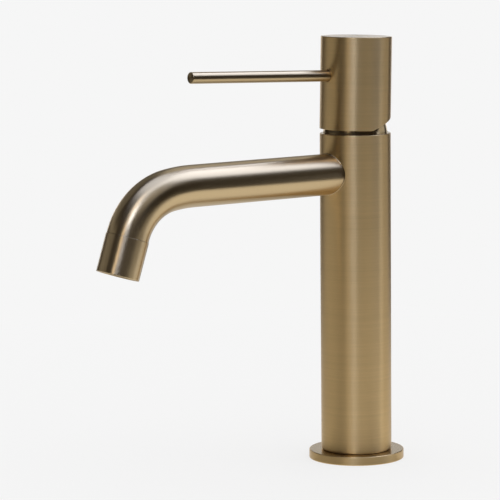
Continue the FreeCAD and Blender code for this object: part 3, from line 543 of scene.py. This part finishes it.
# end sleeve of the spout
sleeve = {"length": 20.2, "radius": 11.22, "mouth": 9.4, "bore": 7.5, "depth": 12.0, "edge": 0.4,
          "mouthEdge": 0.25, "seamEdge": 0.12, "sides": 160}
outlet = seam + downLeg * sleeve["length"]
atOutlet = Matrix.Translation(outlet * mm) @ Matrix.Rotation(-(math.pi / 2 - bend), 4, "X")
sleevePiece = turned("outletSleeve", softened([
    (sleeve["mouth"], 0, sleeve["mouthEdge"]),
    (sleeve["radius"], 0, sleeve["edge"]),
    (sleeve["radius"], sleeve["length"], sleeve["seamEdge"]),
    (sleeve["bore"], sleeve["length"], 0),
    (sleeve["bore"], sleeve["depth"], 0),
    (sleeve["mouth"], sleeve["depth"], 0),
]), atOutlet, sides=sleeve["sides"])
dress(sleevePiece, satinBronze, "faucet_body", "polished_bronze", "aerator_sleeve")

# dome under the handle
dome = {"radius": 17.2, "foot": 176.5, "topRadius": 12.32, "steps": 24, "bore": 10.95, "plug": 16.95,
        "low": 175.0, "thread": 13.55, "ceiling": 181.05}
domeLine = []
domeTop = math.acos(dome["topRadius"] / dome["radius"])
for k in range(dome["steps"] + 1):
    rise = domeTop * k / dome["steps"]
    domeLine.append((dome["radius"] * math.cos(rise), dome["foot"] + dome["radius"] * math.sin(rise)))
domePiece = turned("domeCover", [
    (dome["thread"], dome["low"]), (dome["plug"], dome["low"]), (dome["plug"], dome["foot"]),
    *domeLine,
    (dome["bore"], domeLine[-1][1]), (dome["bore"], dome["ceiling"]), (dome["thread"], dome["ceiling"]),
])
dress(domePiece, polishedBronze, "faucet_body", "polished_bronze", "dome_cover")

# handle, upright about its pivot and then leaned back
handle = {"radius": 19.0, "cavity": 17.8, "low": -3.8, "high": 45.6, "roof": 15.05, "edge": 0.4, "lip": 0.15,
          "lipHeight": 1, "cutAdvance": 2.5, "cutSlope": 20.5, "pivot": 182.5, "lean": 1.35, "sides": 240}
leaned = Matrix.Rotation(-math.radians(handle["lean"]), 4, "X")
atPivot = Matrix.Translation((0, 0, handle["pivot"] * mm)) @ leaned
handleAxis = atPivot.to_3x3() @ Vector((0, 0, 1))
slope = math.tan(math.radians(handle["cutSlope"]))


def slantedLip(x, y, z):
    if z > handle["low"] + handle["lipHeight"]:
        return z
    return z + max(0.0, y + handle["cutAdvance"]) * slope


kink = math.asin(-handle["cutAdvance"] / handle["radius"])  # where the slanted cut starts on the wall
handleTurns = sorted(roundTurns(handle["sides"]) + [kink % (2 * math.pi), math.pi - kink])
handlePiece = turned("handleCap", softened([
    (handle["cavity"], handle["low"], 0),
    (handle["radius"], handle["low"], handle["lip"]),
    (handle["radius"], handle["high"], handle["edge"]),
    (0, handle["high"], 0),
    (0, handle["roof"], 0),
    (handle["cavity"], handle["roof"], 0),
]), atPivot, lift=slantedLip, turns=handleTurns)

# lever in its seat, which is a little wider at the handle's wall
lever = {"radius": 3.0, "height": 28.45, "tilt": 0.7, "tip": 106.5, "edge": 0.35, "sides": 96, "seat": 17.5,
         "seatPlay": 0.15, "seatSides": 64, "sink": 0.3, "sinkStart": 18.75, "sinkFull": 19.05, "past": 22}
leverRise = Matrix.Translation((0, 0, (handle["low"] + lever["height"]) * mm))
onLever = atPivot @ leverRise @ Matrix.Rotation(math.radians(90 - lever["tilt"]), 4, "X")
hole = lever["radius"] + lever["seatPlay"]
handlePiece = drilled(handlePiece, turned("leverSeat", [
    (0, lever["seat"]), (hole, lever["seat"]), (hole, lever["sinkStart"]),
    (hole + lever["sink"], lever["sinkFull"]), (hole + lever["sink"], lever["past"]), (0, lever["past"]),
], onLever, sides=lever["seatSides"], closed=False))
trueWall(handlePiece, atPivot, handle["radius"])
dress(handlePiece, brushedBronze, "handle", "brushed_bronze", "handle_cap",
      endFinish=polishedBronze, axis=handleAxis)
leverPiece = turned("leverRod", softened([
    (0, lever["seat"], 0),
    (lever["radius"], lever["seat"], 0),
    (lever["radius"], lever["tip"], lever["edge"]),
    (0, lever["tip"], 0),
]), onLever, sides=lever["sides"])
dress(leverPiece, shadedLeverBronze, "handle", "polished_bronze", "lever_rod")
print("handle and lever made")


def honeycombTree():
    # a rim, and inside it cells on a hexagonal grid
    sizes = ("Cell Pitch", "Cell Wall", "Height", "Reach", "Rim Width")
    tree, given = newTree("honeycomb", "GeometryNodeTree", [
        ("Rim", "Geometry"), *((label, "Float", 0.001) for label in sizes), ("Rows", "Int", 9),
        ("Finish", "Material")], [("Honeycomb", "Geometry")])
    pitch, rows = given["Cell Pitch"], given["Rows"]
    width = worked(tree, "MULTIPLY", worked(tree, "SUBTRACT", rows, 1), pitch)
    depth = worked(tree, "MULTIPLY", width, math.sqrt(3) / 2)
    grid = addNode(tree, "GeometryNodeMeshGrid", {
        "Size X": width, "Size Y": depth, "Vertices X": rows, "Vertices Y": rows})
    row = worked(tree, "MODULO", addNode(tree, "GeometryNodeInputIndex").outputs["Index"], rows)
    odd = worked(tree, "SUBTRACT", worked(tree, "MODULO", row, 2), 0.5)
    aside = worked(tree, "MULTIPLY", odd, worked(tree, "MULTIPLY", pitch, 0.5))
    shift = addNode(tree, "ShaderNodeCombineXYZ", {"X": aside}).outputs["Vector"]
    moved = addNode(tree, "GeometryNodeSetPosition", {"Geometry": grid.outputs["Mesh"], "Offset": shift})
    spots = addNode(tree, "GeometryNodeInputPosition").outputs["Position"]
    outside = worked(tree, "GREATER_THAN", lengthOf(tree, spots), given["Reach"])
    trim = addNode(tree, "GeometryNodeDeleteGeometry", {
        "Geometry": moved.outputs["Geometry"], "Selection": outside}, domain="POINT")
    half = worked(tree, "MULTIPLY", given["Cell Wall"], 0.5)
    corner = worked(tree, "DIVIDE", pitch, math.sqrt(3))
    cellRadius = worked(tree, "SUBTRACT", corner, worked(tree, "MULTIPLY", half, 0.5))
    cell = addNode(tree, "GeometryNodeCurvePrimitiveCircle", mode="RADIUS")
    fill(tree, cell, {"Resolution": 6, "Radius": cellRadius})
    rim = addNode(tree, "GeometryNodeMeshToCurve", {"Mesh": given["Rim"]})
    walls = []
    for path, wall in ((cell, half), (rim, given["Rim Width"])):
        section = addNode(tree, "GeometryNodeCurvePrimitiveQuadrilateral", mode="RECTANGLE")
        fill(tree, section, {"Width": wall, "Height": given["Height"]})
        walls.append(addNode(tree, "GeometryNodeCurveToMesh", {
            "Curve": path.outputs["Curve"], "Profile Curve": section.outputs["Curve"]}).outputs["Mesh"])
    cells = addNode(tree, "GeometryNodeInstanceOnPoints", {
        "Points": trim.outputs["Geometry"], "Instance": walls[0], "Rotation": (0, 0, math.pi / 6)})
    joined = addNode(tree, "GeometryNodeJoinGeometry")
    for part in (cells.outputs["Instances"], walls[1]):
        fill(tree, joined, {"Geometry": part})
    endTree(tree, joined.outputs["Geometry"], given["Finish"], "Honeycomb")
    return tree


# honeycomb in the outlet, between the lip of its housing and the diffuser
comb = {"radius": 7.6, "low": 2.0, "high": 4.0, "rim": 0.7, "rimSides": 96, "pitch": 1.5, "wall": 0.24,
        "rows": 13, "clearance": 0.05}
rimRadius = comb["radius"] - comb["rim"] / 2
rimLine = []
for turn in roundTurns(comb["rimSides"]):
    rimLine.append((rimRadius * math.cos(turn), rimRadius * math.sin(turn), 0))
combPiece = grown("outletHoneycomb", pathMesh("combRim", rimLine, True), honeycombTree(), {
    "Cell Pitch": comb["pitch"] * mm, "Cell Wall": comb["wall"] * mm, "Rim Width": comb["rim"] * mm,
    "Height": (comb["high"] - comb["low"]) * mm, "Rows": comb["rows"], "Finish": greyPlastic,
    "Reach": (comb["radius"] - comb["pitch"] / math.sqrt(3) - comb["clearance"]) * mm})
combPiece.data.transform(atOutlet @ Matrix.Translation((0, 0, (comb["low"] + comb["high"]) / 2 * mm)))
dress(combPiece, greyPlastic, "faucet_body", "moulded_plastic", "aerator_screen")


def threadTree():
    # the ridge of a thread, wound up from each point of the carrier
    sizes = ("Wall Radius", "Ridge", "Length", "Turns")
    tree, given = newTree("threadRidge", "GeometryNodeTree", [
        ("Holes", "Geometry"), *((label, "Float", 0.001) for label in sizes), ("Finish", "Material"),
    ], [("Threads", "Geometry")])
    spiral = addNode(tree, "GeometryNodeCurveSpiral", {
        "Resolution": block["turnSteps"], "Rotations": given["Turns"], "Height": given["Length"],
        "Start Radius": given["Wall Radius"], "End Radius": given["Wall Radius"]})
    upright = addNode(tree, "GeometryNodeSetCurveNormal", {"Curve": spiral.outputs["Curve"]}, mode="Z_UP")
    ridge = addNode(tree, "GeometryNodeCurvePrimitiveCircle", mode="RADIUS")
    fill(tree, ridge, {"Resolution": 3, "Radius": given["Ridge"]})
    sweep = addNode(tree, "GeometryNodeCurveToMesh", {
        "Curve": upright.outputs["Curve"], "Profile Curve": ridge.outputs["Curve"], "Fill Caps": True})
    spread = addNode(tree, "GeometryNodeInstanceOnPoints", {
        "Points": given["Holes"], "Instance": sweep.outputs["Mesh"]})
    endTree(tree, spread.outputs["Instances"], given["Finish"], "Threads")
    return tree


# foot block, with the holes opened to the outside of their threads and the ridges wound into them
block = {"spigot": 15.5, "step": 4.6, "plug": 16.95, "top": 26.6, "channel": 4.0, "socket": 5.05,
         "pipeFoot": 21.6, "chamfer": 0.7, "threadStart": 1.0, "past": 1.0, "holeSides": 64, "turnSteps": 40}
threads = {
    "inletThreads": {"holes": [(-8.0, -4.5), (8.0, -4.5)], "radius": 5.0, "depth": 12.0, "pitch": 1.0,
                     "ridge": 0.54, "through": True},
    "studThread": {"holes": [(0.0, 7.5)], "radius": 4.0, "depth": 15.0, "pitch": 1.25,
                   "ridge": 0.62, "through": False},
}
footBlock = turned("footBlock", [
    (0, 0), (block["spigot"], 0), (block["spigot"], block["step"]), (block["plug"], block["step"]),
    (block["plug"], block["top"]), (0, block["top"]),
], closed=False)
ridges = threadTree()
for name, look in threads.items():
    mouth = look["radius"] + block["chamfer"]
    below, above = -block["past"], block["top"] + block["past"]
    drill = [(0, below), (mouth, below), (mouth, 0), (look["radius"], block["chamfer"]),
             (look["radius"], look["depth"])]
    if look["through"]:
        drill += [(block["channel"], look["depth"]), (block["channel"], block["pipeFoot"]),
                  (block["socket"], block["pipeFoot"]), (block["socket"], above), (0, above)]
    else:
        drill.append((0, look["depth"]))
    for x, y in look["holes"]:
        place = Matrix.Translation((x * mm, y * mm, 0))
        cutter = turned("threadHole", drill, place, sides=block["holeSides"], closed=False)
        footBlock = drilled(footBlock, cutter)
    length = look["depth"] - block["threadStart"] - look["pitch"]
    carrier = bpy.data.meshes.new(name)
    carrier.from_pydata([(x * mm, y * mm, block["threadStart"] * mm) for x, y in look["holes"]], [], [])
    threadPiece = grown(name, carrier, ridges, {
        "Wall Radius": look["radius"] * mm, "Ridge": look["ridge"] * mm, "Length": length * mm,
        "Turns": length / look["pitch"], "Finish": turnedBrass})
    dress(threadPiece, turnedBrass, "faucet_body", "machined_brass")
footBlock.data.attributes.remove(footBlock.data.attributes["custom_normal"])
footBlock.data.shade_smooth()
footBlock.data.set_sharp_from_angle(angle=lathe["sharpAngle"])
dress(footBlock, turnedBrass, "faucet_body", "machined_brass", "base_block")
print("outlet and foot made")

# studio: a pale floor, a soft box overhead, and screens that only the metal's reflections see
studio = {"pale": 0.9216, "ambient": 0.55, "boxLevel": 1.3, "boxSize": 2.6, "boxPlace": (0.2, 0.3, 1.8),
          "azimuth": 52.73, "screenRadius": 2.6, "screenInset": 0.1, "screenFoot": 0.15, "stripWidth": 3,
          "fewestStrips": 4}
paleColour = (studio["pale"],) * 3 + (1,)
white = (1, 1, 1)
cool = (0.82, 1.0, 1.6)
dark = (1.25, 1.0, 0.72)
darkLevel = 0.02


def seenDirectly(tree):
    # 1 for camera, glossy and transmission rays, 0 for the light that falls on things
    path = addNode(tree, "ShaderNodeLightPath").outputs
    most = path["Is Camera Ray"]
    for ray in ("Is Glossy Ray", "Is Transmission Ray"):
        most = worked(tree, "MAXIMUM", most, path[ray])
    return most


def paleWorld():
    world = bpy.data.worlds.new("studio")
    bpy.context.scene.world = world
    world.use_nodes = True
    tree = world.node_tree
    shown = tree.nodes["Background"]
    fill(tree, shown, {"Color": paleColour})
    light = addNode(tree, "ShaderNodeBackground", {"Color": (*white, 1), "Strength": studio["ambient"]})
    choice = addNode(tree, "ShaderNodeMixShader", {
        "Fac": seenDirectly(tree), 1: light.outputs["Background"], 2: shown.outputs["Background"]})
    fill(tree, tree.nodes["World Output"], {"Surface": choice.outputs["Shader"]})


paleWorld()

# curved screens: turn and width in degrees round the object, counted from the camera to its right, and low
# and high in degrees above the floor
screens = {
    "darkWall": {"turn": 0, "width": 360, "low": -6, "high": 68, "level": darkLevel,
                 "colour": dark, "inset": 0},
    "backdropLow": {"turn": -177, "width": 64, "low": -6, "high": 5, "level": 1.3, "inset": 0.05},
    "backdropHigh": {"turn": -177, "width": 64, "low": 5, "high": 14, "level": 0.55, "inset": 0.05},
    "frontStripLow": {"turn": -27, "width": 11, "low": 11, "high": 20, "lean": 3, "level": 3.2,
                      "colour": (1.05, 0.96, 0.86), "inset": 1.4},
    "frontStrip": {"turn": -8, "width": 18, "low": 24, "high": 37, "lean": 1, "level": 5.5,
                   "colour": cool, "inset": 1.4},
    "frontStripHigh": {"turn": -14, "width": 22, "low": 37, "high": 58, "lean": 1, "level": 2.2,
                       "colour": (0.95, 1.0, 1.25), "inset": 1.4},
    "frontTop": {"turn": 30, "width": 80, "low": 56, "high": 67, "level": 1.4, "colour": cool},
    "rightNear": {"turn": 90, "width": 13, "low": -18, "high": 6, "level": 0.85,
                  "colour": (0.92, 1.0, 1.25), "inset": 2.15},
    "rightFar": {"turn": 112, "width": 38, "low": -18, "high": 1, "level": 0.22, "inset": 2.15},
    "rightFarHigh": {"turn": 112, "width": 38, "low": 1, "high": 16, "level": 0.6, "inset": 2.15},
    "frontFill": {"turn": 32, "width": 48, "low": 25, "high": 58, "level": 0.35},
    "sideBoxHigh": {"turn": 93, "width": 46, "low": 43, "high": 67, "level": 2.2, "colour": cool},
    "sideBoxFar": {"turn": 136, "width": 40, "low": 43, "high": 67, "level": 3.1, "colour": cool},
    "sideBox": {"turn": 100, "width": 48, "low": 37, "high": 43, "level": 2.2, "colour": cool},
    "sideBoxEdge": {"turn": 100, "width": 48, "low": 31, "high": 37, "level": 1.0, "colour": cool},
    "backBox": {"turn": 177, "width": 26, "low": 26, "high": 62, "level": 0.6},
    "leftScreen": {"turn": -135, "width": 74, "low": 20, "high": 54, "level": 0.16},
    "leftLow": {"turn": -105, "width": 80, "low": 10, "high": 20, "level": 0.35},
}
# flat sheets: corners are left, front, right and back, as the camera sees them; a hole makes a frame
sheets = {
    "darkApron": {"corners": (-3, -3, 3, 3), "hole": (-1.6, -0.38, 0.4, 0.4), "height": 0.0006,
                  "level": darkLevel, "colour": dark},
    # shadedTable, footShade and backShade are painted shadow: dimmer sheets on the table, seen only in the
    # metal's reflections, standing in for the object's shadow to the left of, in front of and behind the foot
    "shadedTable": {"corners": (-1.6, -0.38, -0.022, 0.4), "height": 0.0002, "level": 0.7},
    "darkRoof": {"corners": (-3, -3, 3, 3), "height": 6.4, "level": darkLevel, "colour": dark},
    "footShade": {"corners": (-0.05, -0.045, 0.045, -0.01), "height": 0.0004, "level": 0.5},
    "backShade": {"corners": (-0.022, 0.045, 0.05, 0.4), "height": 0.0003, "level": 0.45},
    "overheadScreen": {"corners": (-2.1, -2.5, 3.1, 2.7), "turn": 0, "height": 6.0, "level": 1.2,
                       "colour": cool},
}


def reflectOnly(name, look, vertices, faces):
    # shows in the metal, but lights nothing and isn't seen itself
    finish = bpy.data.materials.new(name)
    finish.use_nodes = True
    tree = finish.node_tree
    tree.nodes.remove(tree.nodes["Principled BSDF"])
    glow = addNode(tree, "ShaderNodeEmission", {
        "Color": (*look.get("colour", white), 1), "Strength": look["level"]})
    fill(tree, tree.nodes["Material Output"], {"Surface": glow.outputs["Emission"]})
    mesh = bpy.data.meshes.new(name)
    mesh.from_pydata(vertices, [], faces)
    mesh.materials.append(finish)
    piece = addPiece(name, mesh)
    piece.visible_camera = False
    piece.visible_diffuse = False
    piece.visible_shadow = False


def curvedScreen(name, look):
    radius = studio["screenRadius"] - look.get("inset", studio["screenInset"])
    steps = max(studio["fewestStrips"], int(look["width"] / studio["stripWidth"]))
    vertices, faces = [], []
    for k in range(steps + 1):
        across = look["width"] * (k / steps - 0.5)
        for end, rise in ((0, look["low"]), (1, look["high"])):
            turn = math.radians(studio["azimuth"] + look["turn"] + across + end * look.get("lean", 0))
            z = math.tan(math.radians(rise)) * radius + studio["screenFoot"]
            vertices.append((math.sin(turn) * radius, -math.cos(turn) * radius, z))
    for k in range(steps):
        faces.append((2 * k, 2 * k + 1, 2 * k + 3, 2 * k + 2))
    reflectOnly(name, look, vertices, faces)


def rectangle(left, front, right, back):
    return [(left, front), (right, front), (right, back), (left, back)]


def flatSheet(name, look):
    facing = Matrix.Rotation(math.radians(look.get("turn", studio["azimuth"])), 3, "Z")
    spots = rectangle(*look["corners"])
    faces = [(0, 1, 2, 3)]
    if "hole" in look:
        spots += rectangle(*look["hole"])
        faces = [(k, (k + 1) % 4, 4 + (k + 1) % 4, 4 + k) for k in range(4)]
    reflectOnly(name, look, [facing @ Vector((x, y, look["height"])) for x, y in spots], faces)


for name, look in screens.items():
    curvedScreen(name, look)
for name, look in sheets.items():
    flatSheet(name, look)

softBox = bpy.data.lights.new("softBox", "AREA")
softBox.shape = "SQUARE"
softBox.size = studio["boxSize"]
softBox.energy = studio["boxLevel"] * math.pi * studio["boxSize"] ** 2
softBoxObject = bpy.data.objects.new("softBox", softBox)
softBoxObject.location = studio["boxPlace"]
softBoxObject.visible_camera = False
softBoxObject.visible_glossy = False
bpy.context.scene.collection.objects.link(softBoxObject)

# the floor keeps the object's shadow near the foot and evens out into the pale background
floor = {"half": 6, "shade": 0.85, "roughness": 0.9, "nearRadius": 0.03, "farRadius": 0.5, "nearShare": 0.78}


def paleFloor():
    finish = bpy.data.materials.new("paleFloor")
    finish.use_nodes = True
    tree = finish.node_tree
    shader = tree.nodes["Principled BSDF"]
    fill(tree, shader, {
        "Base Color": (floor["shade"],) * 3 + (1,), "Roughness": floor["roughness"],
        "Specular IOR Level": 0.0})
    glow = addNode(tree, "ShaderNodeEmission", {"Color": paleColour})
    reach = lengthOf(tree, addNode(tree, "ShaderNodeTexCoord").outputs["Object"])
    evening = addNode(tree, "ShaderNodeMapRange", {
        "Value": reach, "From Min": floor["nearRadius"], "From Max": floor["farRadius"],
        "To Min": floor["nearShare"], "To Max": 1})
    share = worked(tree, "MULTIPLY", seenDirectly(tree), evening.outputs["Result"])
    choice = addNode(tree, "ShaderNodeMixShader", {
        "Fac": share, 1: shader.outputs["BSDF"], 2: glow.outputs["Emission"]})
    fill(tree, tree.nodes["Material Output"], {"Surface": choice.outputs["Shader"]})
    mesh = bpy.data.meshes.new("floor")
    half = floor["half"]
    mesh.from_pydata([(x, y, 0) for x, y in rectangle(-half, -half, half, half)], [], [(0, 1, 2, 3)])
    mesh.materials.append(finish)
    addPiece("floor", mesh)


paleFloor()
print("studio lit")

# camera at the photograph's place
view = {"azimuth": 52.734, "distance": 1487.71, "height": 314.56, "yaw": 54.925, "pitch": 7.699,
        "roll": -0.524, "lens": 200.644, "sensor": 36, "reach": 50}
azimuth, yaw, pitch, roll = (math.radians(view[k]) for k in ("azimuth", "yaw", "pitch", "roll"))
forward = Vector((-math.sin(yaw) * math.cos(pitch), math.cos(yaw) * math.cos(pitch), -math.sin(pitch)))
levelRight = Vector((math.cos(yaw), math.sin(yaw), 0))
levelUp = levelRight.cross(forward)
right = levelRight * math.cos(roll) + levelUp * math.sin(roll)
upward = levelUp * math.cos(roll) - levelRight * math.sin(roll)
camera = bpy.data.cameras.new("photoCamera")
camera.lens = view["lens"]
camera.sensor_width = view["sensor"]
camera.clip_end = view["reach"]
cameraObject = bpy.data.objects.new("photoCamera", camera)
cameraObject.matrix_world = Matrix((
    (right.x, upward.x, -forward.x, math.sin(azimuth) * view["distance"] * mm),
    (right.y, upward.y, -forward.y, -math.cos(azimuth) * view["distance"] * mm),
    (right.z, upward.z, -forward.z, view["height"] * mm),
    (0, 0, 0, 1),
))
bpy.context.scene.collection.objects.link(cameraObject)
bpy.context.scene.camera = cameraObject
bpy.context.scene.view_settings.view_transform = "Standard"
print("camera placed")
